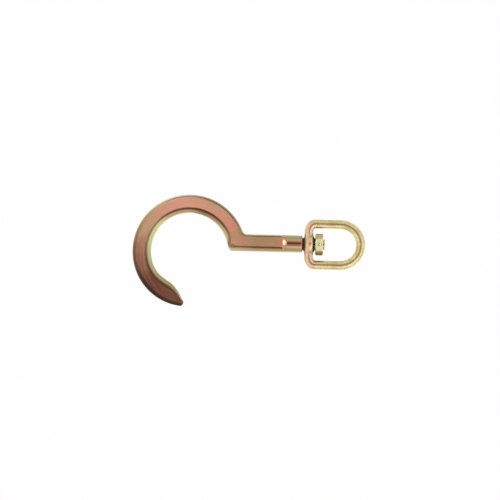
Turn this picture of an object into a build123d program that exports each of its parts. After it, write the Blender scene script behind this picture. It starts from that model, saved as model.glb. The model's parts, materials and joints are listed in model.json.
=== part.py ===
from build123d import *
import math
import os

# Butcher's swivel hook, hanging from its eye. Millimetres, +Z up.
# The origin is where the eye bears on whatever it hangs from: the highest point inside it.
# The hook lies in the XZ plane, with its mouth and its point on the +X side.

# Swivel eye: a forged ring of round rod with a drilled hub in its base
eye_rod_diameter = 8.0
eye_width = 45.0
eye_length = 55.0
eye_corner_radius = 6.0  # at the middle of the rod, where the base turns into the legs
hub_diameter = 18.0
hub_end_diameter = 12.4
hub_length = 11.2

# Stem of the hook, which the eye turns on, and what holds the eye there
stem_diameter = 10.0
stem_end_chamfer = 1.0
stem_beyond_nut = 1.7
nut_across_flats = 17.0
nut_thickness = 6.9
nut_chamfer_width = 1.5
nut_chamfer_height = 0.9
pin_diameter = 4.0
pin_length = 16.0
pin_wall = 0.8
pin_slot = 0.9
pin_end_chamfer = 0.3

# Shank, round above and flattened below, with a ramp on each face between them
shank_diameter = 15.3
shank_edge_chamfer = 0.8
round_shank_length = 14.0
ramp_length = 4.5
flat_shank_length = 48.3  # from the foot of the ramps down to the top of the bowl's inside
bar_thickness = 10.3

# Bowl of the hook. Its angles run from +X towards +Z, about the middle of the arc they end.
bowl_inner_radius = 35.0
bowl_offset = 9.2  # from the shank's axis to the middle of the bowl
bar_width = 16.4
curl_angle = 285.0  # where the bar starts to close in towards the point
curl_inner_tightening = 8.0  # by how much less the two radii of the bowl are from there on
curl_outer_tightening = 2.4
point_start_angle = 334.0
point_end_angle = 356.8
point_face_radius = 34.0
point_blend_radius = 12.0
inside_corner_radius = 5.6
outside_corner_radius = 5.0
inside_edge_flat = 1.3  # left between the two rounded edges on the side that carries the load
outside_edge_radius = 1.4

# Clearances
running_clearance = 0.08  # stem in the hub, on the radius
end_clearance = 0.3  # hub to the shoulder below it and to the nut above it
thread_clearance = 0.02  # nut on the stem, and pin in its holes, on the radius

# How far off an edge may be and still be the one looked for
place_tolerance = 0.01

# Places that follow from the sizes
eye_top_z = eye_rod_diameter
rod_radius = eye_rod_diameter / 2
base_z = eye_top_z - eye_length + rod_radius
hub_bottom_z = base_z - hub_length / 2
hub_top_z = base_z + hub_length / 2
shoulder_z = hub_bottom_z - end_clearance
nut_bottom_z = hub_top_z + end_clearance
pin_z = nut_bottom_z + nut_thickness / 2
stem_top_z = nut_bottom_z + nut_thickness + stem_beyond_nut
ramp_top_z = shoulder_z - round_shank_length
flat_top_z = ramp_top_z - ramp_length
shank_radius = shank_diameter / 2
inside_edge_radius = (bar_thickness - inside_edge_flat) / 2
bowl_outer_radius = bowl_inner_radius + bar_width
curl_inner_radius = bowl_inner_radius - curl_inner_tightening
curl_outer_radius = bowl_outer_radius - curl_outer_tightening
bowl_middle = (bowl_offset, flat_top_z - flat_shank_length - bowl_inner_radius)


def at_angle(radius, angle, middle):
    # The point at this radius and angle about a middle
    turn = math.radians(angle)
    return (middle[0] + radius * math.cos(turn), middle[1] + radius * math.sin(turn))


def angle_at_side(radius, side_x):
    # Where a circle about the bowl's middle meets one side of the shank
    return math.degrees(math.acos((side_x - bowl_offset) / radius))


def eye_ring():
    # Base, corners, legs and the round top that bears the load, as one bent rod
    half = eye_width / 2 - rod_radius
    straight = half - eye_corner_radius
    corner_z = base_z + eye_corner_radius
    bend_z = rod_radius - half
    with BuildLine(Plane.XZ) as route:
        Line((-straight, base_z), (straight, base_z))
        CenterArc((straight, corner_z), eye_corner_radius, 270, 90)
        Line((half, corner_z), (half, bend_z))
        CenterArc((0, bend_z), half, 0, 180)
        Line((-half, bend_z), (-half, corner_z))
        CenterArc((-straight, corner_z), eye_corner_radius, 180, 90)
    with BuildSketch(Plane(origin=(-straight, 0, base_z), z_dir=(1, 0, 0))) as section:
        Circle(rod_radius)
    return sweep(section.sketch, path=route.wire())


def eye_hub():
    # The barrel round the stem, before it is drilled
    end = hub_end_diameter / 2
    with BuildSketch(Plane.XZ) as half_section:
        with BuildLine():
            Polyline((end, hub_bottom_z), (0, hub_bottom_z), (0, hub_top_z), (end, hub_top_z))
            ThreePointArc((end, hub_top_z), (hub_diameter / 2, base_z), (end, hub_bottom_z))
        make_face()
    return revolve(half_section.sketch, axis=Axis.Z)


def swivel_eye():
    bore = Cylinder(stem_diameter / 2 + running_clearance, 2 * hub_length)
    return eye_ring() + eye_hub() - Pos(0, 0, base_z) * bore


def bar_outline():
    # Shank, bowl and point in one closed line, with its corners rounded
    curl_outer = at_angle(curl_outer_tightening, curl_angle, bowl_middle)
    curl_inner = at_angle(curl_inner_tightening, curl_angle, bowl_middle)
    outer_start = angle_at_side(bowl_outer_radius, -shank_radius)
    inner_start = angle_at_side(bowl_inner_radius, shank_radius)
    outer_corner = at_angle(bowl_outer_radius, outer_start, bowl_middle)
    inner_corner = at_angle(bowl_inner_radius, inner_start, bowl_middle)
    point_start = at_angle(curl_inner_radius, point_start_angle, curl_inner)
    point_end = at_angle(curl_outer_radius, point_end_angle, curl_outer)
    outer_curl_size = point_end_angle - curl_angle
    inner_curl_size = point_start_angle - curl_angle
    with BuildSketch(Plane.XZ) as outline:
        with BuildLine():
            Polyline(inner_corner, (shank_radius, flat_top_z), (-shank_radius, flat_top_z), outer_corner)
            CenterArc(bowl_middle, bowl_outer_radius, outer_start, curl_angle - outer_start)
            CenterArc(curl_outer, curl_outer_radius, curl_angle, outer_curl_size)
            RadiusArc(point_end, point_start, -point_face_radius)
            CenterArc(curl_inner, curl_inner_radius, curl_angle, inner_curl_size)
            CenterArc(bowl_middle, bowl_inner_radius, inner_start, curl_angle - inner_start)
        make_face()
        fillet(outline.vertices().sort_by_distance(outer_corner)[0], outside_corner_radius)
        fillet(outline.vertices().sort_by_distance(inner_corner)[0], inside_corner_radius)
        fillet(outline.vertices().sort_by_distance(point_start)[0], point_blend_radius)
    return outline.sketch


def shank_side_edges(bar, side_x):
    # The two long edges of the bar that run down one side of the shank
    along = bar.edges().filter_by(Axis.Z)
    on_side = along.filter_by(lambda edge: abs(edge.center().X - side_x) < place_tolerance)
    return on_side.filter_by(lambda edge: abs(edge.center().Y) > place_tolerance)


def flat_bar():
    # The flattened part: full inside edges first, then the small radius round the outside
    bar = extrude(bar_outline(), amount=bar_thickness / 2, both=True)
    bar = fillet(shank_side_edges(bar, shank_radius), inside_edge_radius)
    bar = fillet(shank_side_edges(bar, -shank_radius), outside_edge_radius)
    trim = Box(4 * shank_radius, 2 * bar_thickness, ramp_length)
    trim -= Cone(shank_radius + ramp_length, shank_radius, ramp_length)
    return bar - Pos(0, 0, flat_top_z - ramp_length / 2) * trim


def round_shank():
    # Round from the shoulder down, with a ramp cut on each face to meet the flat bar
    foot_z = flat_top_z - ramp_length
    length = shoulder_z - foot_z
    shank = Pos(0, 0, foot_z) * Cylinder(shank_radius, length, align=(Align.CENTER, Align.CENTER, Align.MIN))
    shank = chamfer(shank.edges().sort_by(Axis.Z)[-1], shank_edge_chamfer)
    half = bar_thickness / 2
    for side in (1, -1):
        with BuildSketch(Plane.YZ) as ramp:
            with BuildLine():
                Polyline(
                    (side * half, foot_z),
                    (side * half, flat_top_z),
                    (side * shank_radius, ramp_top_z),
                    (side * shank_diameter, ramp_top_z),
                    (side * shank_diameter, foot_z),
                    (side * half, foot_z),
                )
            make_face()
        shank -= extrude(ramp.sketch, amount=shank_diameter, both=True)
    return shank


def along_y(radius, length):
    # A cylinder across the stem at the pin's height
    return Pos(0, 0, pin_z) * Rot(90, 0, 0) * Cylinder(radius, length)


def hook_body():
    # Point, bowl, shank and stem are one forging
    stem_length = stem_top_z - ramp_top_z
    stem = Pos(0, 0, ramp_top_z) * Cylinder(
        stem_diameter / 2, stem_length, align=(Align.CENTER, Align.CENTER, Align.MIN)
    )
    stem = chamfer(stem.edges().sort_by(Axis.Z)[-1], stem_end_chamfer)
    pin_hole = along_y(pin_diameter / 2 + thread_clearance, shank_diameter)
    return flat_bar() + round_shank() + stem - pin_hole


def stem_nut():
    # Hexagon with its corners cut back to a cone at both ends, drilled across for the pin
    blank = Cylinder(nut_across_flats / math.sqrt(3), nut_thickness)
    rims = blank.edges().filter_by(GeomType.CIRCLE)
    side = blank.faces().filter_by(GeomType.CYLINDER)[0]
    blank = chamfer(rims, nut_chamfer_height, nut_chamfer_width, reference=side)
    outline = RegularPolygon(nut_across_flats / 2, 6, major_radius=False)
    hexagon = extrude(outline, nut_thickness / 2, both=True)
    nut = Pos(0, 0, pin_z) * (blank & hexagon)
    nut -= Pos(0, 0, pin_z) * Cylinder(stem_diameter / 2 + thread_clearance, 2 * nut_thickness)
    return nut - along_y(pin_diameter / 2 + thread_clearance, 2 * nut_across_flats)


def lock_pin():
    # Rolled spring pin with its slot towards the eye
    pin = along_y(pin_diameter / 2, pin_length)
    pin = chamfer(pin.edges().filter_by(GeomType.CIRCLE), pin_end_chamfer)
    pin -= along_y(pin_diameter / 2 - pin_wall, 2 * pin_length)
    slot = Box(pin_slot, 2 * pin_length, pin_diameter)
    return pin - Pos(0, 0, pin_z + pin_diameter / 2) * slot


os.makedirs("parts", exist_ok=True)
for node in (swivel_eye, hook_body, stem_nut, lock_pin):
    export_step(node(), f"parts/{node.__name__}.step")
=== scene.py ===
import json
import math

import bpy
from mathutils import Matrix, Vector


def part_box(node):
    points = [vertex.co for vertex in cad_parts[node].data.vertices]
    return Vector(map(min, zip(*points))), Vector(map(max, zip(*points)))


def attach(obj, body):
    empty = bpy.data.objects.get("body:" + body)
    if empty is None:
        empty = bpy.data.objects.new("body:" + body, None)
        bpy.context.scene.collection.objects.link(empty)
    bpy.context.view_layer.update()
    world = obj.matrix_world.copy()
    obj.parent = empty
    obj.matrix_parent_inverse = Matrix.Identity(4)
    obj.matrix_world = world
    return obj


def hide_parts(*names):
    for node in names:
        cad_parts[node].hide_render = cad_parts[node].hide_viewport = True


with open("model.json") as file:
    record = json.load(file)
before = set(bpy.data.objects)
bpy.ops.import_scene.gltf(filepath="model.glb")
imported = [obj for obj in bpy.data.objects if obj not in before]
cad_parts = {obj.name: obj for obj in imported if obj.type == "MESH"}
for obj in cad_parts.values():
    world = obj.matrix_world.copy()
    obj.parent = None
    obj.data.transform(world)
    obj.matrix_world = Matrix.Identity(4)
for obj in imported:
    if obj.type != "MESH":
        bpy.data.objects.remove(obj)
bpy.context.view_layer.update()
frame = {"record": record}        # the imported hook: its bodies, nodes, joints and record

# The hook hangs along Z with its flat faces towards -Y and +Y, and its point on the +X side.
mm = 0.001
hookLow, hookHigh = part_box("hook_body")
eyeLow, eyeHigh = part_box("swivel_eye")
nutLow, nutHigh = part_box("stem_nut")
pinLow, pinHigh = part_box("lock_pin")
slack = 0.01 * mm  # how far off a place may be and still be the one meant
weldDistance = 0.002 * mm
tiny = 1e-6
squareOn = 0.9  # share of its normal along an axis that a face needs to count as square to it


# Helpers that more than one piece uses

def deselectAll():
    if bpy.context.object and bpy.context.object.mode != "OBJECT":
        bpy.ops.object.mode_set(mode="OBJECT")
    bpy.ops.object.select_all(action="DESELECT")


def makeActive(piece):
    deselectAll()
    piece.select_set(True)
    bpy.context.view_layer.objects.active = piece


def objectMode():
    bpy.ops.object.mode_set(mode="OBJECT")


def editWhere(piece, kind, parts, test):
    # edit mode with only the vertices or faces that pass the test selected
    makeActive(piece)
    bpy.ops.object.mode_set(mode="EDIT")
    bpy.ops.mesh.select_mode(type=kind)
    bpy.ops.mesh.select_all(action="DESELECT")
    objectMode()
    for part in parts:
        part.select = test(part)
    bpy.ops.object.mode_set(mode="EDIT")


def editVerts(piece, test=lambda co: True):
    editWhere(piece, "VERT", piece.data.vertices, lambda vert: test(vert.co))


def editFaces(piece, test=lambda face: True):
    editWhere(piece, "FACE", piece.data.polygons, test)


def applyAll(piece):
    # bake place, turn and size into the mesh, then every modifier
    makeActive(piece)
    bpy.ops.object.transform_apply(location=True, rotation=True, scale=True)
    for modifier in list(piece.modifiers):
        bpy.ops.object.modifier_apply(modifier=modifier.name)


def booleanWith(piece, tool, operation):
    makeActive(piece)
    cut = piece.modifiers.new("cut", "BOOLEAN")
    cut.operation = operation
    cut.solver = "EXACT"
    cut.object = tool
    bpy.ops.object.modifier_apply(modifier=cut.name)
    bpy.data.objects.remove(tool, do_unlink=True)


def tidyNormals(piece):
    editVerts(piece)
    bpy.ops.mesh.remove_doubles(threshold=weldDistance)
    bpy.ops.mesh.normals_make_consistent(inside=False)
    objectMode()


def smoothShade(piece, degrees):
    makeActive(piece)
    bpy.ops.object.shade_smooth_by_angle(angle=math.radians(degrees))


def tell(name, piece):
    print(name, len(piece.data.vertices), "vertices", len(piece.data.polygons), "faces")


def addCylinder(verts, radius, depth, middle, turn=(0, 0, 0)):
    bpy.ops.mesh.primitive_cylinder_add(
        vertices=verts, radius=radius, depth=depth, location=middle, rotation=turn)
    return bpy.context.object


def walkSection(stations):
    # The selected end face is drawn out from station to station. Each one is a point, the
    # direction across the section, its width along that direction and its depth along Y.
    for last, here in zip(stations, stations[1:]):
        place = Vector((here[0][0], 0, here[0][1]))
        before = Vector((last[0][0], 0, last[0][1]))
        bpy.ops.mesh.extrude_region_move(TRANSFORM_OT_translate={"value": place - before})
        turn = here[1] - last[1]
        if abs(turn) > tiny:
            bpy.ops.transform.rotate(value=turn, orient_axis="Y", center_override=place)
        across = (math.cos(here[1]), 0, math.sin(here[1]))
        along = (-math.sin(here[1]), 0, math.cos(here[1]))
        size = (here[2] / last[2], here[3] / last[3], 1)
        if abs(size[0] - 1) > tiny or abs(size[1] - 1) > tiny:
            bpy.ops.transform.resize(
                value=size, orient_type="GLOBAL", orient_matrix=(across, (0, 1, 0), along),
                orient_matrix_type="GLOBAL", center_override=place)


def drawRing(nextZ, z, scale):
    # the selected ring is drawn out along Z and made wider or narrower
    bpy.ops.mesh.extrude_region_move(TRANSFORM_OT_translate={"value": (0, 0, nextZ - z)})
    bpy.ops.transform.resize(value=(scale, scale, 1), center_override=(0, 0, nextZ))


# The hook: bar, bowl and point
hook = {
    "shankWidth": 15.3 * mm,
    "barWidth": 16.4 * mm,
    "barDepth": 10.3 * mm,
    "outsideEdge": 1.4 * mm,
    "insideEdge": 4.9 * mm,
    "insideReach": 1.02,  # the inside edge is an ellipse, longer across the bar
    "bowlRadius": 35.0 * mm,
    "outsideCorner": 5.0 * mm,
    "insideCorner": 6.5 * mm,  # reach of the blend between shank and bowl
    "curlAngle": 285,
    "curlInside": 27.0 * mm,
    "curlOutside": 49.0 * mm,
    "pointStart": 334,
    "pointEnd": 357.5,
    "pointFace": 34.0 * mm,
    "pointBlend": 1.6 * mm,
    "noseAngle": 354.5,
    "noseLength": 2.4 * mm,
    "noseDepth": 0.62,
    "thinFrom": 315,  # the bar gets thinner from here to the nose
    "thinPower": 1.4,
    "noseClosed": 0.02,  # square of the share of the section left at the very end
    "bowlStep": 3.0,
    "cornerStep": 4.8,
    "shankSteps": 14,
    "firstStep": 0.01,  # the first shank station, as a share of the way
    "pointStep": 1.5,
    "insideSegments": 10,
    "outsideSegments": 4,
    "flatCuts": 12,
    "outsideCuts": 7,
    "insideCuts": 1,
    "smoothAngle": 33,
}
shank = {
    "radius": 7.65 * mm,
    "roundLength": 14.0 * mm,
    "rampLength": 4.5 * mm,
    "join": 0.9 * mm,  # from the end of the flats to the first round ring
    "edge": 0.8 * mm,
    "endPlay": 0.3 * mm,
    # how far below the shoulder and in from the round, as shares of the edge
    "shoulder": ((4, 0), (1.15, 0), (0.75, 0.12), (0.12, 0.75), (0, 1.15)),
    "stemRadius": 5.0 * mm,
    "stemFoot": 0.3 * mm,
    "threadDepth": 0.55 * mm,
    "threadPitch": 1.5 * mm,
    # how far above the nut, in pitches, and how deep, as a share of the thread
    "runOut": ((-0.3, 0), (-0.1, 0), (0.22, 1), (0.3, 1), (0.6, 0), (0.72, 0)),
    "ringVerts": 64,
    "rampRings": 10,
    "rampPower": 1.3,  # the ramps are a little hollow
    "domeInsets": (0.21, 0.3),  # of the radius of the stem's end
    "domeRise": 0.04 * mm,
}
shoulderZ = eyeLow.z - shank["endPlay"]
rampTopZ = shoulderZ - shank["roundLength"]
flatTopZ = rampTopZ - shank["rampLength"]
bowlOuter = hook["bowlRadius"] + hook["barWidth"]
bowlX, bowlZ = hookLow.x + bowlOuter, hookLow.z + bowlOuter


def polar(radius, degrees, middle=(0.0, 0.0)):
    turn = math.radians(degrees)
    return (middle[0] + radius * math.cos(turn), middle[1] + radius * math.sin(turn))


def rayToCircle(start, turn, middle, radius, far):
    # how far along a ray a circle is met, at its near or its far side
    toMiddle = (middle[0] - start[0], middle[1] - start[1])
    ahead = toMiddle[0] * math.cos(turn) + toMiddle[1] * math.sin(turn)
    under = ahead ** 2 - (toMiddle[0] ** 2 + toMiddle[1] ** 2 - radius ** 2)
    if under < 0:
        return bowlOuter * 4  # the ray goes by
    return ahead + math.sqrt(under) if far else ahead - math.sqrt(under)


def softLess(a, b, reach):
    # the lesser of two lengths, with a rounded change from one to the other
    mix = max(reach - abs(a - b), 0) / reach
    return min(a, b) - mix * mix * reach / 4


def cornerStations():
    # the bar turns from the shank into the bowl about the middle of the outside corner
    pivotX = -hook["shankWidth"] / 2 - hook["outsideCorner"]
    reach = bowlOuter + hook["outsideCorner"]
    pivot = (pivotX, bowlZ + math.sqrt(reach ** 2 - (bowlX - pivotX) ** 2))
    lastTurn = math.degrees(math.atan2(bowlZ - pivot[1], bowlX - pivot[0]))
    steps = round(-lastTurn / hook["cornerStep"])
    stations = []
    for step in range(steps + 1):
        turn = math.radians(lastTurn * step / steps)
        toSide = (hook["shankWidth"] / 2 - pivot[0]) / math.cos(turn)
        toBowl = rayToCircle(pivot, turn, (bowlX, bowlZ), hook["bowlRadius"], far=False)
        across = softLess(toSide, toBowl, hook["insideCorner"]) - hook["outsideCorner"]
        outer = polar(hook["outsideCorner"], math.degrees(turn), pivot)
        stations.append((outer, turn, across, hook["barDepth"]))
    return stations


def curlMiddles():
    # middles of the tighter arcs inside and outside the bar, from the bowl's middle
    inside = polar(hook["bowlRadius"] - hook["curlInside"], hook["curlAngle"])
    return inside, polar(bowlOuter - hook["curlOutside"], hook["curlAngle"])


def pointFaceMiddle():
    # the middle of the arc that cuts the bar's inside away towards the point
    curlIn, curlOut = curlMiddles()
    start = Vector(polar(hook["curlInside"], hook["pointStart"], curlIn))
    end = Vector(polar(hook["curlOutside"], hook["pointEnd"], curlOut))
    chord = end - start
    rise = math.sqrt(hook["pointFace"] ** 2 - (chord.length / 2) ** 2)
    side = Vector((chord.y, -chord.x)).normalized()
    return (start + end) / 2 + side * rise


def barEdges(degrees):
    # how far from the bowl's middle the bar starts and ends at this angle
    turn = math.radians(degrees)
    if degrees <= hook["curlAngle"]:
        return hook["bowlRadius"], bowlOuter
    curlIn, curlOut = curlMiddles()
    inner = rayToCircle((0, 0), turn, curlIn, hook["curlInside"], far=True)
    outer = rayToCircle((0, 0), turn, curlOut, hook["curlOutside"], far=True)
    faceMiddle = pointFaceMiddle()
    face = rayToCircle((0, 0), turn, faceMiddle, hook["pointFace"], far=False)
    if degrees - 360 < math.degrees(math.atan2(faceMiddle.y, faceMiddle.x)):
        face = 2 * (faceMiddle.length - hook["pointFace"]) - face  # it starts at its nearest
    inner = -softLess(-inner, -face, hook["pointBlend"])
    return inner, outer


def bowlStations(firstAngle):
    # past the cap angle the section keeps its shape and closes to a blunt nose
    capAngle = hook["noseAngle"] - math.degrees(hook["noseLength"] / bowlOuter)
    stations = []
    angle = firstAngle
    while angle < hook["noseAngle"] - tiny:
        angle += hook["bowlStep"] if angle < hook["thinFrom"] else hook["pointStep"]
        angle = min(angle, hook["noseAngle"])
        inner, outer = barEdges(min(angle, capAngle))
        thin = max(angle - hook["thinFrom"], 0) / (hook["noseAngle"] - hook["thinFrom"])
        depth = hook["barDepth"] * (1 - (1 - hook["noseDepth"]) * thin ** hook["thinPower"])
        left = math.radians(hook["noseAngle"] - angle) * outer / hook["noseLength"]
        close = math.sqrt(max(1 - (1 - min(left, 1)) ** 2, hook["noseClosed"]))
        width = (outer - inner) * close
        outer -= (outer - inner) * (1 - close) / 2
        place = polar(outer, angle, (bowlX, bowlZ))
        stations.append((place, math.radians(angle - 180), width, depth * close))
    return stations


def makeBar():
    halfWidth = hook["shankWidth"] / 2
    bpy.ops.mesh.primitive_plane_add(size=1, location=(0, 0, 0))
    bar = bpy.context.object
    bar.name = "forgedHook"
    editVerts(bar)
    bpy.ops.transform.resize(value=(hook["shankWidth"], hook["barDepth"], 1))
    bpy.ops.transform.translate(value=(0, 0, flatTopZ))
    # the section: nearly a full round on the load side, small rounds on the outside
    for side, name in ((1, "inside"), (-1, "outside")):
        editVerts(bar, lambda co: co.x * side > halfWidth - slack)
        bpy.ops.mesh.bevel(
            offset=hook[name + "Edge"], segments=hook[name + "Segments"], affect="VERTICES", profile=0.5)
    editVerts(bar, lambda co: co.x > halfWidth - hook["insideEdge"] - slack)
    bpy.ops.transform.resize(value=(hook["insideReach"], 1, 1), center_override=(halfWidth, 0, flatTopZ))
    flats = hook["barDepth"] / 2 - slack
    for test, cuts in (
            (lambda co: co.y > flats, "flatCuts"), (lambda co: co.y < -flats, "flatCuts"),
            (lambda co: co.x < -halfWidth + slack, "outsideCuts"),
            (lambda co: co.x > halfWidth - slack, "insideCuts")):
        editVerts(bar, test)
        bpy.ops.mesh.subdivide(number_cuts=hook[cuts])
    editFaces(bar)
    corner = cornerStations()
    start = ((-halfWidth, flatTopZ), 0.0, hook["shankWidth"], hook["barDepth"])
    straight = []
    for step in range(hook["shankSteps"]):
        down = step / hook["shankSteps"] or hook["firstStep"]
        z = flatTopZ + (corner[0][0][1] - flatTopZ) * down
        straight.append(((-halfWidth, z), 0.0, hook["shankWidth"], hook["barDepth"]))
    bowl = bowlStations(180 + math.degrees(corner[-1][1]))
    walkSection([start] + straight + corner + bowl)
    bpy.ops.mesh.merge(type="CENTER")
    # the first face goes, so that the round shank can join on there
    editFaces(bar, lambda face: face.center.z > flatTopZ - slack and len(face.vertices) > 4)
    bpy.ops.mesh.delete(type="FACE")
    objectMode()
    return bar


bar = makeBar()
tell("bar:", bar)


def shankRings():
    # height and radius of every ring above the ramps, up to the end of the stem
    radius, edge, stem, foot = (shank[name] for name in ("radius", "edge", "stemRadius", "stemFoot"))
    root = stem - shank["threadDepth"]
    rings = [(rampTopZ + 1.0 * mm, radius)]
    rings += [(shoulderZ - down * edge, radius - inwards * edge) for down, inwards in shank["shoulder"]]
    rings += [(shoulderZ, stem + foot), (shoulderZ + foot, stem)]
    for up, deep in shank["runOut"]:
        rings.append((nutHigh.z + up * shank["threadPitch"], stem - deep * shank["threadDepth"]))
    # the turned end
    return rings + [(hookHigh.z - 0.2 * mm, root - 0.05 * mm), (hookHigh.z, root - 0.35 * mm)]


def makeShank():
    firstZ = flatTopZ + shank["join"]
    bpy.ops.mesh.primitive_circle_add(
        vertices=shank["ringVerts"], radius=shank["radius"], location=(0, 0, firstZ))
    piece = bpy.context.object
    applyAll(piece)
    editVerts(piece)
    rampRise = (rampTopZ - firstZ) / shank["rampRings"]
    for ring in range(shank["rampRings"]):
        bpy.ops.mesh.extrude_region_move(TRANSFORM_OT_translate={"value": (0, 0, rampRise)})
    z, radius = rampTopZ, shank["radius"]
    for nextZ, nextRadius in shankRings():
        drawRing(nextZ, z, nextRadius / radius)
        z, radius = nextZ, nextRadius
    # the turned end of the stem, very slightly domed
    bpy.ops.mesh.edge_face_add()
    for inset in shank["domeInsets"]:
        bpy.ops.mesh.inset(thickness=radius * inset)
        bpy.ops.transform.translate(value=(0, 0, shank["domeRise"]))
    # the ramps: each ring is pressed flat to a height that climbs to the full round
    for ring in range(shank["rampRings"]):
        ringZ = firstZ + ring * rampRise
        climb = (ringZ - flatTopZ) / shank["rampLength"]
        half = hook["barDepth"] / 2 + (shank["radius"] - hook["barDepth"] / 2) * climb ** shank["rampPower"]
        for side in (1, -1):
            editVerts(piece, lambda co: abs(co.z - ringZ) < 5 * slack and side * co.y > half)
            if any(vert.select for vert in piece.data.vertices):
                bpy.ops.transform.resize(value=(1, 0, 1), center_override=(0, side * half, ringZ))
    objectMode()
    return piece


def joinHook(bar, top):
    deselectAll()
    top.select_set(True)
    bar.select_set(True)
    bpy.context.view_layer.objects.active = bar
    bpy.ops.object.join()
    firstZ = flatTopZ + shank["join"]
    editVerts(bar, lambda co: abs(co.z - flatTopZ) < 2 * slack or abs(co.z - firstZ) < 2 * slack)
    bpy.ops.mesh.select_mode(type="EDGE")
    bpy.ops.mesh.bridge_edge_loops()
    tidyNormals(bar)
    smoothShade(bar, hook["smoothAngle"])
    return bar


hookPiece = joinHook(bar, makeShank())
tell("hook:", hookPiece)

# The swivel eye
eye = {
    "rod": 8.0 * mm,
    "cornerAcross": 8.0 * mm,  # the corners reach further along the base than up the legs
    "cornerUp": 5.2 * mm,
    "waist": 0.98,  # the rod is drawn in a little beside the hub
    "waistPlace": 10.5 * mm,
    "waistReach": 4.0 * mm,
    "hubRadius": 9.0 * mm,
    # height from the middle and radius, as shares of half the length and of the radius
    "hubShape": (
        (-1.0, 0.64), (-0.8, 0.69), (-0.6, 0.76), (-0.4, 0.89), (-0.2, 0.98), (0.05, 1.0),
        (0.35, 0.99), (0.58, 0.93), (0.76, 0.81), (0.9, 0.69), (1.0, 0.62)),
    "bore": 5.08 * mm,
    "boreVerts": 72,
    "voxel": 0.36 * mm,
    "smoothShare": 0.5,
    "smoothTimes": 24,
    "rodVerts": 48,
    "swell": 0.07 * mm,  # what the smoothing takes off again
    "hubVerts": 56,
    "baseFrom": 4.0 * mm,  # the rod starts this far inside the hub
    "baseSteps": 8,
    "cornerSteps": 10,
    "legSteps": 4,
    "topSteps": 40,
    "smoothAngle": 40,
}
rodRadius = eye["rod"] / 2
eyeHalf = (eyeHigh.x - eyeLow.x) / 2 - rodRadius
hubMiddleZ = frame["record"]["behaviour"]["joints"][0]["pos_m"][2]


def rodStations():
    # right half from inside the hub, round the corner and up the leg, then the top, then mirrored
    topMiddle = eyeHigh.z - rodRadius - eyeHalf
    straight = eyeHalf - eye["cornerAcross"]
    cornerZ = hubMiddleZ + eye["cornerUp"]
    half = []
    for step in range(eye["baseSteps"] + 1):
        x = eye["baseFrom"] + (straight - eye["baseFrom"]) * step / eye["baseSteps"]
        half.append((x, hubMiddleZ, -90.0))
    for step in range(1, eye["cornerSteps"] + 1):
        turn = math.pi / 2 * step / eye["cornerSteps"]
        x = straight + eye["cornerAcross"] * math.sin(turn)
        z = cornerZ - eye["cornerUp"] * math.cos(turn)
        slope = math.atan2(eye["cornerUp"] * math.sin(turn), eye["cornerAcross"] * math.cos(turn))
        half.append((x, z, math.degrees(slope) - 90))
    for step in range(1, eye["legSteps"]):
        half.append((eyeHalf, cornerZ + (topMiddle - cornerZ) * step / eye["legSteps"], 0.0))
    top = []
    for step in range(eye["topSteps"] + 1):
        degrees = 180 * step / eye["topSteps"]
        x, z = polar(eyeHalf, degrees, (0, topMiddle))
        top.append((x, z, degrees))
    left = [(-x, z, 180 - degrees) for x, z, degrees in reversed(half)]
    stations = []
    for x, z, degrees in half + top + left:
        near = max(1 - abs(abs(x) - eye["waistPlace"]) / eye["waistReach"], 0)
        onBase = z < hubMiddleZ + 1 * mm
        drawn = 1 - (1 - eye["waist"]) * near * near * (3 - 2 * near) * onBase
        stations.append(((x, z), math.radians(degrees), drawn, drawn))
    return stations


def makeRod():
    stations = rodStations()
    first = stations[0]
    bpy.ops.mesh.primitive_circle_add(
        vertices=eye["rodVerts"], radius=rodRadius * first[2] + eye["swell"], fill_type="NGON",
        location=(first[0][0], 0, first[0][1]), rotation=(0, math.radians(90), 0))
    rod = bpy.context.object
    applyAll(rod)
    editFaces(rod)
    walkSection(stations)
    tidyNormals(rod)
    return rod


def makeHub():
    # turned round Z from its lower end to its upper one, steeper towards the nut
    halfLength = hubMiddleZ - eyeLow.z
    rings = [(hubMiddleZ + at * halfLength, eye["hubRadius"] * size) for at, size in eye["hubShape"]]
    bpy.ops.mesh.primitive_circle_add(
        vertices=eye["hubVerts"], radius=rings[0][1], fill_type="NGON", location=(0, 0, rings[0][0]))
    hub = bpy.context.object
    applyAll(hub)
    editFaces(hub)
    for (z, radius), (nextZ, nextRadius) in zip(rings, rings[1:]):
        drawRing(nextZ, z, nextRadius / radius)
    tidyNormals(hub)
    return hub


def makeEye():
    rod = makeRod()
    booleanWith(rod, makeHub(), "UNION")
    # remeshed and smoothed, so that rod and hub run into each other as in a forging
    remesh = rod.modifiers.new("forging", "REMESH")
    remesh.mode = "VOXEL"
    remesh.voxel_size = eye["voxel"]
    remesh.adaptivity = 0
    smooth = rod.modifiers.new("soften", "SMOOTH")
    smooth.factor = eye["smoothShare"]
    smooth.iterations = eye["smoothTimes"]
    applyAll(rod)
    bore = addCylinder(eye["boreVerts"], eye["bore"], 20 * mm, (0, 0, hubMiddleZ))
    booleanWith(rod, bore, "DIFFERENCE")
    rod.name = "forgedEye"
    smoothShade(rod, eye["smoothAngle"])
    return rod


eyePiece = makeEye()
tell("eye:", eyePiece)

# The nut, and the cross hole through it and the stem
nut = {
    "corner": 9.815 * mm,
    "chamferWidth": 1.05 * mm,
    "chamferHeight": 0.6 * mm,
    "bore": 5.02 * mm,
    "crossHole": 2.02 * mm,
    "softEdge": 0.18 * mm,
    "softSegments": 2,
    "softFrom": 25,  # degrees between the faces of an edge that is softened
    "blankVerts": 96,
    "boreVerts": 64,
    "crossVerts": 40,
    "smoothAngle": 30,
}
nutMiddleZ = (nutLow.z + nutHigh.z) / 2
nutHeight = nutHigh.z - nutLow.z
pinMiddleZ = (pinLow.z + pinHigh.z) / 2


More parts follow.
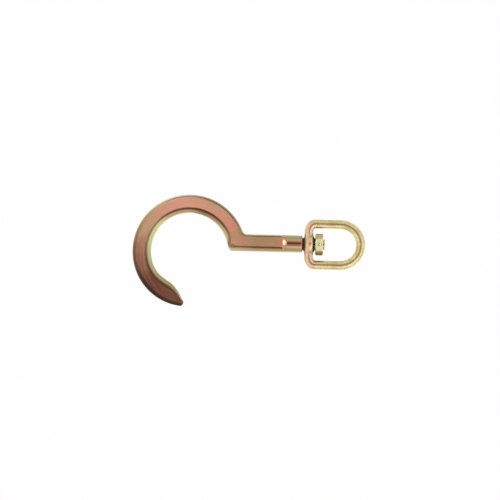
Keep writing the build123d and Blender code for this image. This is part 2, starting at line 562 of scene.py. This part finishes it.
def drillForPin(piece):
    drill = addCylinder(
        nut["crossVerts"], nut["crossHole"], 4 * nut["corner"], (0, 0, pinMiddleZ), (math.radians(90), 0, 0))
    booleanWith(piece, drill, "DIFFERENCE")


def makeNut():
    middle = (0, 0, nutMiddleZ)
    piece = addCylinder(6, nut["corner"], nutHeight, middle, (0, 0, math.radians(30)))
    piece.name = "hexNut"
    applyAll(piece)
    # a turned blank with chamfered rims takes the corners off at both ends
    plainHeight = nutHeight - 2 * nut["chamferHeight"]
    blank = addCylinder(nut["blankVerts"], nut["corner"] + 2 * slack, plainHeight, middle)
    applyAll(blank)
    for side in (1, -1):
        editFaces(blank, lambda face: face.normal.z * side > squareOn)
        bpy.ops.mesh.extrude_region_move(
            TRANSFORM_OT_translate={"value": (0, 0, side * (nut["chamferHeight"] + slack / 10))})
        scale = 1 - nut["chamferWidth"] / nut["corner"]
        bpy.ops.transform.resize(value=(scale, scale, 1), center_override=middle)
    objectMode()
    booleanWith(piece, blank, "INTERSECT")
    booleanWith(piece, addCylinder(nut["boreVerts"], nut["bore"], 3 * nutHeight, middle), "DIFFERENCE")
    drillForPin(piece)
    bevel = piece.modifiers.new("softEdge", "BEVEL")
    bevel.width = nut["softEdge"]
    bevel.segments = nut["softSegments"]
    bevel.limit_method = "ANGLE"
    bevel.angle_limit = math.radians(nut["softFrom"])
    applyAll(piece)
    tidyNormals(piece)
    smoothShade(piece, nut["smoothAngle"])
    return piece


# the cross hole runs on through the stem
drillForPin(hookPiece)
smoothShade(hookPiece, hook["smoothAngle"])
nutPiece = makeNut()
tell("nut:", nutPiece)

# The spring pin, rolled from strip, with its slot on top
pin = {
    "radius": 2.0 * mm,
    "hole": 0.95 * mm,
    "holeDepth": 5.0 * mm,
    "slot": 0.9 * mm,
    "rimEdge": 0.3 * mm,
    "rimSegments": 3,
    "around": 56,
    "smoothAngle": 35,
}


def makePin():
    length = pinHigh.y - pinLow.y
    across = (math.radians(90), 0, 0)
    piece = addCylinder(pin["around"], pin["radius"], length, (0, 0, pinMiddleZ), across)
    piece.name = "springPin"
    applyAll(piece)
    # rounded lead at both ends, then a blind bore from each and the slot
    for side in (1, -1):
        editFaces(piece, lambda face: face.normal.y * side > squareOn)
        bpy.ops.mesh.bevel(offset=pin["rimEdge"], segments=pin["rimSegments"], profile=0.5)
    objectMode()
    for side in (1, -1):
        end = (0, side * length / 2, pinMiddleZ)
        drill = addCylinder(pin["around"], pin["hole"], 2 * pin["holeDepth"], end, across)
        booleanWith(piece, drill, "DIFFERENCE")
    bpy.ops.mesh.primitive_cube_add(size=1, location=(0, 0, pinMiddleZ + pin["radius"]))
    slot = bpy.context.object
    editVerts(slot)
    bpy.ops.transform.resize(value=(pin["slot"], 2 * length, 2 * pin["radius"]))
    objectMode()
    booleanWith(piece, slot, "DIFFERENCE")
    tidyNormals(piece)
    smoothShade(piece, pin["smoothAngle"])
    return piece


pinPiece = makePin()
tell("pin:", pinPiece)

# Where each part of a piece's surface lies, kept on the mesh for its finish
flow = {
    "shankFrom": 104,  # angles about the bowl's middle between which the
    "bowlFrom": 118,  # grain turns from the shank into the bowl
    "noseSide": 60,  # below this angle it is the nose, and never the shank
    "shankShare": 0.22,  # of the whole length, from nose to stem
    "polishFrom": 0.03,  # of the tilt from facing Y to square to it
    # where the painted shade on the hub's two ends lies
    "flankFrom": (0.5, 0.65),  # of half the hub's length
    "flankBeyond": 1.1,  # past this it is the rod again
    "flankRadius": (1.06, 0.96),  # of the hub's radius
}


def shareBetween(value, start, full):
    return min(max((value - start) / (full - start), 0), 1)


def markBar(piece):
    # barFlow holds the place across the bar, through it and along it, in millimetres
    # barPlace runs from 0 at the nose to 1 at the stem, edgeTone from 0 facing Y to 1 square to it,
    # and polish is 1 wherever the bar isn't flat
    mesh = piece.data
    flowValues, placeValues, edgeValues, polishValues = [], [], [], []
    for vert in mesh.vertices:
        x, z = vert.co.x - bowlX, vert.co.z - bowlZ
        angle = math.degrees(math.atan2(z, x)) % 360
        onNose = angle < flow["noseSide"]
        shankPart = 0 if onNose else shareBetween(angle, flow["bowlFrom"], flow["shankFrom"])
        aroundPlace = (hook["noseAngle"] - angle) / (hook["noseAngle"] - flow["bowlFrom"])
        upPlace = (vert.co.z - (bowlZ + hook["bowlRadius"])) / (hookHigh.z - bowlZ - hook["bowlRadius"])
        place = (1 - shankPart) * aroundPlace * (1 - flow["shankShare"]) + shankPart * (
            1 - flow["shankShare"] + flow["shankShare"] * upPlace)
        across = (1 - shankPart) * (math.hypot(x, z) - hook["bowlRadius"]) + shankPart * (
            hook["shankWidth"] / 2 - vert.co.x)
        along = math.radians(angle) * hook["bowlRadius"] * (1 - shankPart) + vert.co.z * shankPart
        flowValues += [across / mm, vert.co.y / mm, along / mm]
        placeValues.append(min(max(place, 0), 1))
        normal = vert.normal
        inwards = -(normal.x * x + normal.z * z) / math.hypot(x, z)
        sideways = shankPart * normal.x + (1 - shankPart) * inwards
        tilt = math.degrees(math.atan2(abs(sideways), abs(normal.y))) / 90
        edgeValues.append(tilt)
        polishValues.append(1 if tilt > flow["polishFrom"] or vert.co.z > flatTopZ + 10 * slack else 0)
    for name, kind, values in (
            ("barFlow", "FLOAT_VECTOR", flowValues), ("barPlace", "FLOAT", placeValues),
            ("edgeTone", "FLOAT", edgeValues), ("polish", "FLOAT", polishValues)):
        marks = mesh.attributes.new(name, kind, "POINT")
        marks.data.foreach_set("vector" if kind == "FLOAT_VECTOR" else "value", values)


def markEye(piece):
    # edgeTone as on the bar, and the mask for the painted shade is 1 on the two ends of the hub
    mesh = piece.data
    edgeValues, flankValues = [], []
    halfLength = hubMiddleZ - eyeLow.z
    for vert in mesh.vertices:
        edgeValues.append(math.degrees(math.acos(min(abs(vert.normal.y), 1))) / 90)
        away = abs(vert.co.z - hubMiddleZ) / halfLength
        aside = math.hypot(vert.co.x, vert.co.y) / eye["hubRadius"]
        near = shareBetween(away, *flow["flankFrom"]) if away < flow["flankBeyond"] else 0
        flankValues.append(near * shareBetween(aside, *flow["flankRadius"]))
    for name, values in (("edgeTone", edgeValues), ("hubEndShadeMask", flankValues)):
        mesh.attributes.new(name, "FLOAT", "POINT").data.foreach_set("value", values)


markBar(hookPiece)
markEye(eyePiece)


# Finishes: yellow chromate over bright zinc, on steel

def addNode(tree, kind, place, **settings):
    node = tree.nodes.new("ShaderNode" + kind)
    node.location = place
    for name, value in settings.items():
        setattr(node, name, value)
    return node


def feed(tree, value, socket):
    # another node's output is linked, a plain value is set
    if isinstance(value, bpy.types.NodeSocket):
        tree.links.new(value, socket)
    else:
        socket.default_value = value


def addMath(tree, operation, values, place):
    node = addNode(tree, "Math", place, operation=operation)
    for socket, value in zip(node.inputs, values):
        feed(tree, value, socket)
    return node.outputs[0]


def addVectorMath(tree, operation, first, second, place):
    node = addNode(tree, "VectorMath", place, operation=operation)
    feed(tree, first, node.inputs[0])
    feed(tree, second, node.inputs[1])
    return node.outputs["Vector" if operation == "MULTIPLY" else "Value"]


def mapRange(tree, value, numbers, place, kind="LINEAR"):
    # from where to where the value runs, then what these become, 0 and 1 if they aren't given
    node = addNode(tree, "MapRange", place, interpolation_type=kind)
    for name, number in zip(("From Min", "From Max", "To Min", "To Max"), numbers):
        node.inputs[name].default_value = number
    tree.links.new(value, node.inputs["Value"])
    return node.outputs["Result"]


def easeRange(tree, value, numbers, place):
    return mapRange(tree, value, numbers, place, kind="SMOOTHSTEP")


def rampOn(tree, value, stops, place):
    # a stop is a place and a colour, or a place and one number for a plain mask
    node = addNode(tree, "ValToRGB", place)
    elements = node.color_ramp.elements
    while len(elements) > 1:
        elements.remove(elements[-1])
    for index, (position, colour) in enumerate(stops):
        if index == 0:
            elements[0].position = position
        else:
            elements.new(position)
        elements[index].color = (*colour, 1) if isinstance(colour, tuple) else (colour, colour, colour, 1)
    tree.links.new(value, node.inputs["Fac"])
    return node.outputs["Color"]


def mixColours(tree, mask, first, second, place, blend="MIX"):
    node = addNode(tree, "Mix", place, data_type="RGBA", blend_type=blend)
    for index, value in ((0, mask), (6, first), (7, second)):
        feed(tree, value, node.inputs[index])
    return node.outputs[2]


def readMark(tree, name, place, output="Fac"):
    return addNode(tree, "Attribute", place, attribute_name=name).outputs[output]


def axisOf(tree, vector, axis, place):
    node = addNode(tree, "SeparateXYZ", place)
    tree.links.new(vector, node.inputs[0])
    return node.outputs[axis]


def newGroup(name, takes, gives):
    group = bpy.data.node_groups.new(name, "ShaderNodeTree")
    for socket, kind, value in takes:
        made = group.interface.new_socket(socket, in_out="INPUT", socket_type="NodeSocket" + kind)
        if value is not None:
            made.default_value = value
    for socket, kind in gives:
        group.interface.new_socket(socket, in_out="OUTPUT", socket_type="NodeSocket" + kind)
    given, result = group.nodes.new("NodeGroupInput"), group.nodes.new("NodeGroupOutput")
    given.location, result.location = (-900, 0), (600, 0)
    return group, given.outputs, result.inputs


def placeGroup(tree, group, place, **values):
    node = addNode(tree, "Group", place, node_tree=group)
    for name, value in values.items():
        feed(tree, value, node.inputs[name])
    return node.outputs


def addNoise(tree, vector, place, **values):
    node = addNode(tree, "TexNoise", place)
    for name, value in values.items():
        feed(tree, value, node.inputs[name])
    feed(tree, vector, node.inputs["Vector"])
    return node.outputs["Fac"]


grainNoise = {
    "streak": {"Scale": 1.0, "Detail": 4.0, "Roughness": 0.6},
    "fleck": {"Scale": 1.3, "Detail": 3.0},
    "streakHeight": 0.7,  # of the flecks' height
}


def makeGrainGroup():
    # fine drawn-out grain and rolling marks, along the third axis of its vector
    group, given, result = newGroup(
        "rolledGrain",
        [("Vector", "Vector", None), ("Across", "Float", 1.1), ("Along", "Float", 0.09)],
        [("Streak", "Float"), ("Fleck", "Float"), ("Height", "Float")])
    stretch = addNode(group, "CombineXYZ", (-700, -150))
    for socket, name in zip(stretch.inputs, ("Across", "Across", "Along")):
        feed(group, given[name], socket)
    scaled = addVectorMath(group, "MULTIPLY", given["Vector"], stretch.outputs[0], (-500, 0))
    streak = addNoise(group, scaled, (-300, 150), **grainNoise["streak"])
    fleck = addNoise(group, given["Vector"], (-300, -150), **grainNoise["fleck"])
    height = addMath(group, "MULTIPLY_ADD", (streak, grainNoise["streakHeight"], fleck), (0, 0))
    for name, value in (("Streak", streak), ("Fleck", fleck), ("Height", height)):
        feed(group, value, result[name])
    return group


filmNoise = {
    "detail": 2.0,
    "streakShare": 0.9,  # how far the clouds follow the grain
    "spread": (0.8, 1.14),
}


def makeFilmGroup():
    # the iridescent film: one colour shifts towards another in soft clouds
    group, given, result = newGroup(
        "chromateFilm",
        [("Vector", "Vector", None), ("Size", "Float", 0.05), ("Colour", "Color", (0.5, 0.3, 0.2, 1)),
         ("Shift", "Color", (0.5, 0.45, 0.2, 1)), ("Amount", "Float", 0.6), ("Streak", "Float", 0.5)],
        [("Colour", "Color")])
    cloud = addNoise(
        group, given["Vector"], (-600, 150), Scale=given["Size"], Detail=filmNoise["detail"])
    both = addMath(group, "MULTIPLY_ADD", (given["Streak"], filmNoise["streakShare"], cloud), (-400, 0))
    clouds = easeRange(group, both, filmNoise["spread"], (-200, 0))
    share = addMath(group, "MULTIPLY", (clouds, given["Amount"]), (0, 0))
    feed(group, mixColours(group, share, given["Colour"], given["Shift"], (200, 0)), result["Colour"])
    return group


grainGroup = makeGrainGroup()
filmGroup = makeFilmGroup()
noiseSpan = (0.3, 0.7)  # where nearly all of a noise's values lie


def newMetal(name):
    material = bpy.data.materials.new(name)
    material.use_nodes = True
    tree = material.node_tree
    shader = tree.nodes["Principled BSDF"]
    shader.location = (900, 0)
    shader.inputs["Metallic"].default_value = 1.0
    return material, tree, shader.inputs


def addBump(tree, shader, height, strength, distance=0.15 * mm):
    bump = addNode(tree, "Bump", (650, -300))
    bump.inputs["Strength"].default_value = strength
    bump.inputs["Distance"].default_value = distance
    feed(tree, height, bump.inputs["Height"])
    feed(tree, bump.outputs["Normal"], shader["Normal"])


hookFinish = {
    "grain": {"Across": 0.9, "Along": 0.08},
    "film": {"Size": 0.06, "Amount": 0.7},
    # colour of the flats from the nose to the stem
    "flats": (
        (0.0, (0.23, 0.082, 0.056)), (0.16, (0.23, 0.08, 0.055)), (0.3, (0.53, 0.22, 0.145)),
        (0.42, (0.86, 0.4, 0.27)), (0.56, (0.95, 0.46, 0.33)), (0.7, (0.97, 0.39, 0.29)),
        (0.78, (0.88, 0.34, 0.25)), (0.84, (0.66, 0.34, 0.2)), (0.89, (0.78, 0.32, 0.22)),
        (1.0, (0.76, 0.4, 0.26))),
    # what the film shifts them to
    "flatShifts": (
        (0.12, (0.27, 0.13, 0.085)), (0.34, (0.7, 0.52, 0.28)), (0.76, (0.66, 0.5, 0.26)),
        (0.84, (0.46, 0.36, 0.16)), (1.0, (0.44, 0.36, 0.16))),
    # colour of the rounded edges from where they leave the flat to square to it, with a painted dark
    # reflection line near the flat
    "edges": (
        (0.0, (0.15, 0.065, 0.035)), (0.2, (0.11, 0.05, 0.028)), (0.32, (0.34, 0.19, 0.1)),
        (0.42, (0.56, 0.38, 0.22)), (0.6, (0.5, 0.4, 0.2)), (0.8, (0.42, 0.37, 0.16)),
        (1.0, (0.32, 0.29, 0.11))),
    # the same painted lit, without the dark line and with a painted yellow-green highlight, round the far
    # side of the bowl
    "litEdges": (
        (0.0, (0.36, 0.22, 0.13)), (0.2, (0.36, 0.24, 0.14)), (0.34, (0.58, 0.56, 0.27)),
        (0.5, (0.62, 0.66, 0.3)), (0.8, (0.5, 0.52, 0.26)), (1.0, (0.36, 0.38, 0.18))),
    # how much of the lit copy, and how much painted shade, they get from the nose to the stem
    "litEdgeShare": (
        (0.0, 0.45), (0.2, 0.55), (0.26, 0.6), (0.31, 0.95), (0.41, 0.95), (0.47, 0.1), (0.52, 0.0),
        (0.74, 0.0), (0.79, 0.6), (0.84, 0.0)),
    # painted shade on the rounded edges: darker towards the nose and in a band about two thirds of the way
    # to the stem
    "edgeShade": (
        (0.0, (0.75, 0.66, 0.62)), (0.15, (0.85, 0.8, 0.7)), (0.24, 0.95), (0.58, 1.0),
        (0.64, (0.58, 0.53, 0.48)), (0.69, (0.8, 0.75, 0.7)), (0.74, 1.0)),
    "onEdge": (0.01, 0.1, 0, 0.95),
    # the outside of the bar from the nose to the stem, with painted shade near black towards the nose, and
    # where it starts across the bar
    "outside": (
        (0.0, (0.05, 0.035, 0.025)), (0.16, (0.06, 0.038, 0.03)), (0.29, (0.2, 0.12, 0.08)),
        (0.38, (0.46, 0.33, 0.18)), (0.48, (0.75, 0.68, 0.44)), (0.56, (0.9, 0.6, 0.5)),
        (0.64, (0.46, 0.34, 0.2)), (0.74, (0.44, 0.33, 0.18)), (0.9, (0.58, 0.47, 0.25))),
    "onOutside": (12.4, 15.4, 0, 0.9),
    # the painted shade on the outside starts further in across the bar on the low side of the bowl
    "lowSideShadeReach": 1.6,  # how much earlier it starts on the low side of the bowl
    "onLowSideShade": (0.28, 0.16),
    "outsideToEdge": (0.55, 0.95, 0, 0.75),
    # the round shank: brown, then salmon, then olive on the sides
    "onShank": (0.9025, 0.904),
    "roundShank": (
        (0.0, (0.6, 0.26, 0.15)), (0.13, (0.52, 0.23, 0.135)), (0.22, (0.52, 0.28, 0.165)),
        (0.32, (0.48, 0.32, 0.18)), (0.46, (0.42, 0.36, 0.15)), (0.8, (0.42, 0.38, 0.17)),
        (1.0, (0.32, 0.3, 0.12))),
    # a painted highlight on each ramp, one patch each, stretched across the shank
    "ramp": (0.95, 0.9, 0.62, 1),
    "patchScale": (1, 0, 1.8),
    "patchPlace": (8.8, 0, -117.6),
    "offHighlight": (1.9, 2.9),
    "stub": (0.6, 0.56, 0.34, 1),
    "onStub": (0.965, 0.97),
    "roughness": (0.42, 0.6),
    "polish": 0.32,  # how much smoother the rounded parts are
    # where the edges are painted lit they lose this share of the polish
    "litEdgePolish": 0.6,  # how much of that the open edge loses
    "bump": 0.1,
    "bumpDepth": 0.2 * mm,
    "polishedBump": 0.25,  # how much of the bump is left on the rounded parts
}


def makeHookFinish():
    material, tree, shader = newMetal("hookZinc")
    where = readMark(tree, "barFlow", (-1100, 100), output="Vector")
    along = readMark(tree, "barPlace", (-1100, 350))
    tone = readMark(tree, "edgeTone", (-1100, -250))
    polish = readMark(tree, "polish", (-1100, -500))
    grain = placeGroup(tree, grainGroup, (-850, 50), Vector=where, **hookFinish["grain"])
    flats = rampOn(tree, along, hookFinish["flats"], (-850, 400))
    shifts = rampOn(tree, along, hookFinish["flatShifts"], (-850, 650))
    film = placeGroup(
        tree, filmGroup, (-500, 250), Vector=where, Colour=flats, Shift=shifts, Streak=grain["Streak"],
        **hookFinish["film"])
    # the rounded edges, with their painted dark line, painted light and painted shade
    edges = rampOn(tree, tone, hookFinish["edges"], (-850, -250))
    litEdges = rampOn(tree, tone, hookFinish["litEdges"], (-850, -750))
    litEdgeShare = rampOn(tree, along, hookFinish["litEdgeShare"], (-850, -1000))
    edgeShadeTone = rampOn(tree, along, hookFinish["edgeShade"], (-850, -500))
    # painted light where the edges are lit, the painted dark line elsewhere, then painted shade along the
    # bar
    edgeLightAndShade = mixColours(tree, litEdgeShare, edges, litEdges, (-650, -250))
    shadedEdgeColour = mixColours(tree, 1.0, edgeLightAndShade, edgeShadeTone, (-500, -250), blend="MULTIPLY")
    onEdge = easeRange(tree, tone, hookFinish["onEdge"], (-500, 0))
    barColour = mixColours(tree, onEdge, film["Colour"], shadedEdgeColour, (-300, 150))
    # the outside of the bar, with its painted shade
    across = axisOf(tree, where, "X", (-850, 700))
    onLowSideShade = easeRange(tree, along, hookFinish["onLowSideShade"], (-850, 900))
    shifted = addMath(tree, "MULTIPLY_ADD", (onLowSideShade, hookFinish["lowSideShadeReach"], across), (-650, 700))
    onOutside = easeRange(tree, shifted, hookFinish["onOutside"], (-500, 700))
    outside = rampOn(tree, along, hookFinish["outside"], (-500, 500))
    toEdge = easeRange(tree, tone, hookFinish["outsideToEdge"], (-650, 900))
    outside = mixColours(tree, toEdge, outside, edges, (-300, 700))
    barColour = mixColours(tree, onOutside, barColour, outside, (-100, 150))
    # the round shank with its ramps and their painted highlights, and the stub of the stem
    roundColour = rampOn(tree, tone, hookFinish["roundShank"], (-500, -700))
    beside = addVectorMath(tree, "MULTIPLY", where, hookFinish["patchScale"], (-650, 1100))
    away = addVectorMath(tree, "DISTANCE", beside, hookFinish["patchPlace"], (-450, 1100))
    offHighlight = easeRange(tree, away, hookFinish["offHighlight"], (-200, 1100))
    roundColour = mixColours(tree, offHighlight, hookFinish["ramp"], roundColour, (-100, -150))
    onStub = easeRange(tree, along, hookFinish["onStub"], (-200, 650))
    roundColour = mixColours(tree, onStub, roundColour, hookFinish["stub"], (0, -150))
    onShank = easeRange(tree, along, hookFinish["onShank"], (-200, 400))
    feed(tree, mixColours(tree, onShank, barColour, roundColour, (100, 150)), shader["Base Color"])
    # smoother and with less bump where it isn't flat
    rough = mapRange(tree, grain["Fleck"], (*noiseSpan, *hookFinish["roughness"]), (100, -100))
    litEdgePolish = hookFinish["polish"] * hookFinish["litEdgePolish"]
    smoothing = addMath(tree, "MULTIPLY_ADD", (litEdgeShare, litEdgePolish, -hookFinish["polish"]), (100, -350))
    smoother = addMath(tree, "MULTIPLY_ADD", (polish, smoothing, rough), (400, -100))
    feed(tree, smoother, shader["Roughness"])
    calm = addMath(tree, "MULTIPLY_ADD", (polish, hookFinish["polishedBump"] - 1, 1.0), (400, -350))
    relief = addMath(tree, "MULTIPLY", (grain["Height"], calm), (500, -300))
    addBump(tree, shader, relief, hookFinish["bump"], hookFinish["bumpDepth"])
    return material


eyeFinish = {
    "grain": {"Across": 0.5, "Along": 0.35},
    "film": {"Size": 0.16, "Shift": (0.5, 0.38, 0.18, 1), "Amount": 0.55},
    # facing front or back, then on the sides, first for the base and then for the rest
    "baseFacing": (0.92, 0.58, 0.42, 1),
    "baseSide": (0.72, 0.52, 0.32, 1),
    "facing": (0.86, 0.62, 0.34, 1),
    "side": (0.7, 0.69, 0.32, 1),
    "upwards": (-47 * mm, -20 * mm),
    "onSide": (0.12, 0.5),
    # painted shade on the hub's ends, in the narrow gaps by the shoulder and the nut
    "hubEndShade": (0.09, 0.045, 0.022, 1),
    "roughness": (0.27, 0.35),
    "bump": 0.012,
}


def objectPlaces(tree):
    # in metres and in millimetres
    where = addNode(tree, "TexCoord", (-1100, 0)).outputs["Object"]
    return where, addVectorMath(tree, "MULTIPLY", where, (1 / mm, 1 / mm, 1 / mm), (-900, 0))


def makeEyeFinish():
    material, tree, shader = newMetal("eyeZinc")
    where, place = objectPlaces(tree)
    edge = readMark(tree, "edgeTone", (-900, -250))
    hubEndShade = readMark(tree, "hubEndShadeMask", (-900, -450))
    height = axisOf(tree, where, "Z", (-900, 300))
    upwards = easeRange(tree, height, eyeFinish["upwards"], (-650, 300))
    facing = mixColours(tree, upwards, eyeFinish["baseFacing"], eyeFinish["facing"], (-450, 300))
    side = mixColours(tree, upwards, eyeFinish["baseSide"], eyeFinish["side"], (-450, 500))
    onSide = easeRange(tree, edge, eyeFinish["onSide"], (-450, -250))
    banded = mixColours(tree, onSide, facing, side, (-250, 200))
    grain = placeGroup(tree, grainGroup, (-650, 0), Vector=place, **eyeFinish["grain"])
    film = placeGroup(
        tree, filmGroup, (0, 150), Vector=place, Colour=banded, Streak=grain["Streak"], **eyeFinish["film"])
    # painted shade on the two ends of the hub
    colour = mixColours(tree, hubEndShade, film["Colour"], eyeFinish["hubEndShade"], (400, 150))
    feed(tree, colour, shader["Base Color"])
    rough = mapRange(tree, grain["Fleck"], (*noiseSpan, *eyeFinish["roughness"]), (300, -100))
    feed(tree, rough, shader["Roughness"])
    addBump(tree, shader, grain["Height"], eyeFinish["bump"])
    return material


nutFinish = {
    "name": "nutZinc",
    "film": {
        "Size": 0.25, "Amount": 0.5, "Colour": (1.0, 0.98, 0.84, 1), "Shift": (0.92, 0.84, 0.62, 1)},
    "roughness": (0.46, 0.6),
    "bump": 0.06,
    # painted light and shade from the -X corner to the +X one: bright front and back, darkest on the +X
    # flank
    "across": (
        (0.0, (0.6, 0.48, 0.36)), (0.08, (0.76, 0.66, 0.48)), (0.2, (0.84, 0.76, 0.54)),
        (0.28, (1.0, 0.98, 0.66)), (0.76, (1.0, 0.98, 0.6)), (0.82, (0.7, 0.55, 0.3)),
        (0.9, (0.3, 0.2, 0.09)), (1.0, (0.34, 0.24, 0.12))),
}
pinFinish = {
    "name": "pinSteel",
    "film": {
        "Size": 0.5, "Amount": 0.5, "Colour": (0.97, 0.97, 0.95, 1), "Shift": (0.8, 0.78, 0.74, 1)},
    "roughness": (0.45, 0.58),
    "bump": 0.05,
    # painted shade in the bore
    "bore": (0.03, 0.03, 0.03, 1),
    "offBore": (0.9, 1.1),  # millimetres from its axis
}


def nutLightAndShade(tree, place, colour):
    # painted light and shade: its front and back are brighter than its flanks
    corner = nut["corner"] / mm
    across = mapRange(tree, axisOf(tree, place, "X", (-100, 450)), (-corner, corner), (50, 450))
    tones = rampOn(tree, across, nutFinish["across"], (250, 450))
    return mixColours(tree, 1.0, colour, tones, (550, 300), blend="MULTIPLY")


def pinBoreShade(tree, place, colour):
    # painted shade inside its bore
    beside = addVectorMath(tree, "MULTIPLY", place, (1, 0, 1), (-100, 450))
    fromAxis = addVectorMath(tree, "DISTANCE", beside, (0, 0, pinMiddleZ / mm), (50, 450))
    offBore = easeRange(tree, fromAxis, pinFinish["offBore"], (250, 450))
    return mixColours(tree, offBore, pinFinish["bore"], colour, (550, 300))


def makeSmallFinish(finish, addPaintedShading):
    # the eye's grain, under a film and painted light and shade of its own
    material, tree, shader = newMetal(finish["name"])
    place = objectPlaces(tree)[1]
    grain = placeGroup(tree, grainGroup, (-450, -50), Vector=place, **eyeFinish["grain"])
    film = placeGroup(
        tree, filmGroup, (-150, 150), Vector=place, Streak=grain["Streak"], **finish["film"])
    feed(tree, addPaintedShading(tree, place, film["Colour"]), shader["Base Color"])
    rough = mapRange(tree, grain["Fleck"], (*noiseSpan, *finish["roughness"]), (300, -100))
    feed(tree, rough, shader["Roughness"])
    addBump(tree, shader, grain["Height"], finish["bump"])
    return material


for piece, finish in (
        (hookPiece, makeHookFinish()), (eyePiece, makeEyeFinish()),
        (nutPiece, makeSmallFinish(nutFinish, nutLightAndShade)), (pinPiece, makeSmallFinish(pinFinish, pinBoreShade))):
    piece.data.materials.clear()
    piece.data.materials.append(finish)

for piece, body, node, slot in (
        (hookPiece, "hook", "hook_body", "hook_zinc"), (eyePiece, "eye", "swivel_eye", "eye_zinc"),
        (nutPiece, "hook", "stem_nut", "nut_zinc"), (pinPiece, "hook", "lock_pin", "pin_steel")):
    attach(piece, body)
    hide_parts(node)
print("finishes on")

# Camera, light and floor
shot = {
    "aim": Vector((6.4, 0, -96.05)) * mm,
    "tilt": 1.42,
    "distance": 2.0,
    "viewWidth": 0.4525,
    "sensor": 36,
}
studio = {
    # brightness from directions square to the view (0) to along it (1)
    "ring": ((0.0, 0.95), (0.3, 1.1), (0.7, 1.25), (0.86, 0.75), (0.95, 0.2), (1.0, 0.14)),
    "rampTop": 2.0,  # a ramp holds no more than 1, so it holds shares of this
    "lean": (0.0, 0.0, 1.0),  # the brighter side
    "leanShare": 0.15,
    "white": (0.99, 0.99, 0.99, 1),
    "floorHeight": -0.75,
    "floorRadius": 3.0,
    "floorColour": (0.96, 0.96, 0.95, 1),
    "floorRoughness": 0.8,
    "floorGlow": 0.06,
    "lightSize": 1.2,
    "lights": (("keyLight", (0.55, -0.9, 0.35), 2.1), ("backLight", (0.55, 1.0, 0.3), 3.0)),
}


def makeCamera():
    # the hook lies on its side in the view, with its eye to the right
    data = bpy.data.cameras.new("camera")
    data.sensor_width = shot["sensor"]
    data.lens = data.sensor_width * shot["distance"] / shot["viewWidth"]
    camera = bpy.data.objects.new("camera", data)
    bpy.context.collection.objects.link(camera)
    tilt = math.radians(shot["tilt"])
    right = Vector((-math.sin(tilt), 0, math.cos(tilt)))
    up = Vector((-math.cos(tilt), 0, -math.sin(tilt)))
    back = Vector((0, -1, 0))
    turned = Matrix((right, up, back)).transposed().to_4x4()
    camera.matrix_world = Matrix.Translation(shot["aim"] + back * shot["distance"]) @ turned
    bpy.context.scene.camera = camera


def makeWorld():
    # white to the camera, and a soft ring of light round the view's axis to everything else
    world = bpy.data.worlds.new("studio")
    world.use_nodes = True
    bpy.context.scene.world = world
    tree = world.node_tree
    tree.nodes.clear()
    where = addNode(tree, "TexCoord", (-1000, 0)).outputs["Generated"]
    depth = addMath(tree, "ABSOLUTE", (axisOf(tree, where, "Y", (-800, 100)),), (-600, 100))
    stops = [(at, value / studio["rampTop"]) for at, value in studio["ring"]]
    ring = rampOn(tree, depth, stops, (-400, 100))
    lean = addVectorMath(tree, "DOT_PRODUCT", where, studio["lean"], (-600, -200))
    share = addMath(tree, "MULTIPLY_ADD", (lean, studio["leanShare"], 1.0), (-400, -200))
    glow = addMath(tree, "MULTIPLY", (ring, share), (-150, 0))
    soft = addNode(tree, "Background", (200, 100))
    feed(tree, addMath(tree, "MULTIPLY", (glow, studio["rampTop"]), (0, 0)), soft.inputs["Strength"])
    white = addNode(tree, "Background", (200, -100))
    white.inputs["Color"].default_value = studio["white"]
    isCamera = addNode(tree, "LightPath", (200, 400)).outputs["Is Camera Ray"]
    mix = addNode(tree, "MixShader", (450, 0))
    for socket, value in zip(mix.inputs, (isCamera, soft.outputs[0], white.outputs[0])):
        feed(tree, value, socket)
    feed(tree, mix.outputs[0], addNode(tree, "OutputWorld", (650, 0)).inputs["Surface"])


def makeFloor():
    # well below the hook, which hangs clear of it
    deselectAll()
    bpy.ops.mesh.primitive_circle_add(
        vertices=96, radius=studio["floorRadius"], fill_type="NGON",
        location=(0, 0, studio["floorHeight"]))
    floor = bpy.context.object
    floor.name = "studioFloor"
    applyAll(floor)
    paper = bpy.data.materials.new("paleFloor")
    paper.use_nodes = True
    shader = paper.node_tree.nodes["Principled BSDF"].inputs
    shader["Base Color"].default_value = studio["floorColour"]
    shader["Roughness"].default_value = studio["floorRoughness"]
    shader["Emission Color"].default_value = (1, 1, 1, 1)
    shader["Emission Strength"].default_value = studio["floorGlow"]
    floor.data.materials.append(paper)


def addSoftLight(name, place, power):
    deselectAll()
    bpy.ops.object.light_add(type="AREA", location=place)
    light = bpy.context.object
    light.name = name
    light.data.size = studio["lightSize"]
    light.data.energy = power
    light.rotation_euler = (shot["aim"] - Vector(place)).to_track_quat("-Z", "Y").to_euler()


bpy.context.scene.view_settings.view_transform = "Standard"
makeCamera()
makeWorld()
makeFloor()
for name, place, power in studio["lights"]:
    addSoftLight(name, place, power)
print("camera, light and floor on")
